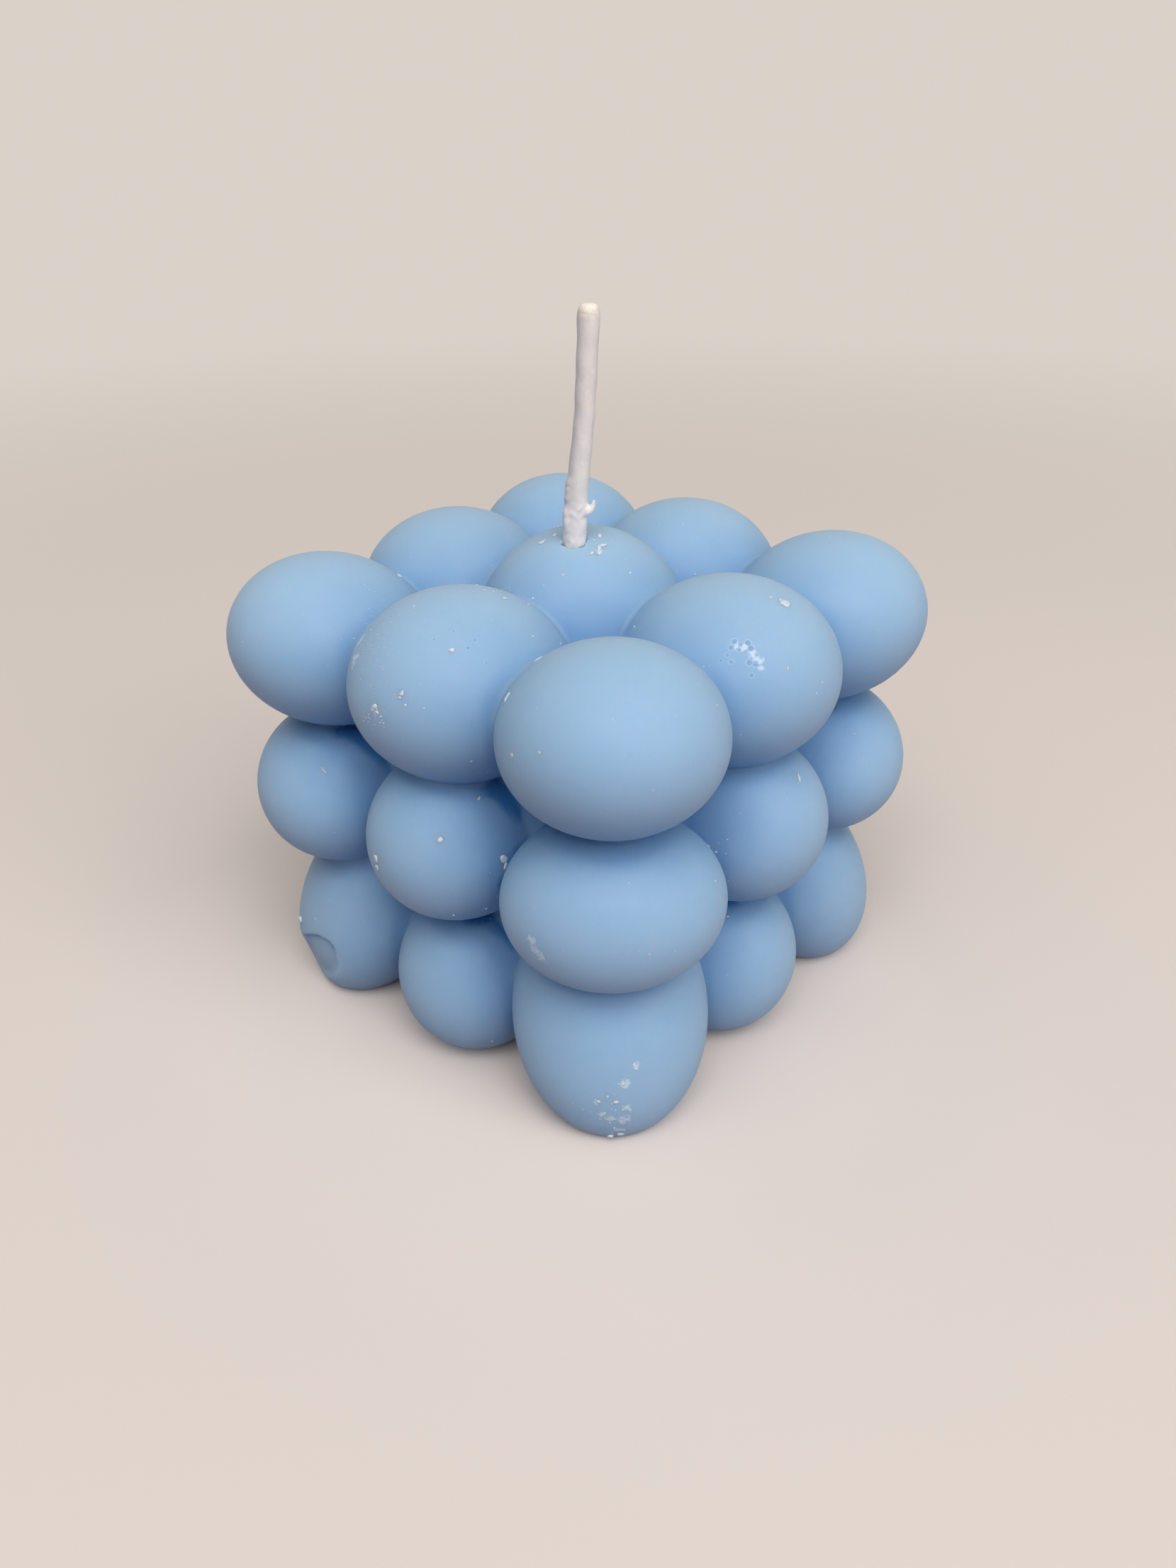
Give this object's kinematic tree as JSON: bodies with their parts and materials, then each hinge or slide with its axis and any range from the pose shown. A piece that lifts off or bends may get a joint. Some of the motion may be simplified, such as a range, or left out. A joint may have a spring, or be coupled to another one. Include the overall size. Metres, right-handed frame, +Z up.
{
  "type": "bubble cube candle",
  "caption": "Block of poured wax shaped as a cube of rounded bubbles, three along each edge, around an upright wick that stands out of the middle bubble on top.",
  "frame": {"origin": "middle of the base, at the level of the feet on the table", "axes": "+Z up along the wick; the sides of the cube face along X and Y"},
  "size_m": [0.0622, 0.0622, 0.0784],
  "materials": {
    "wax": "light blue wax, satin, slightly translucent",
    "wick": "white braided cotton soaked in wax"
  },
  "bodies": {
    "root": {"wax_body": "wax", "wick": "wick"}
  },
  "joints": []
}
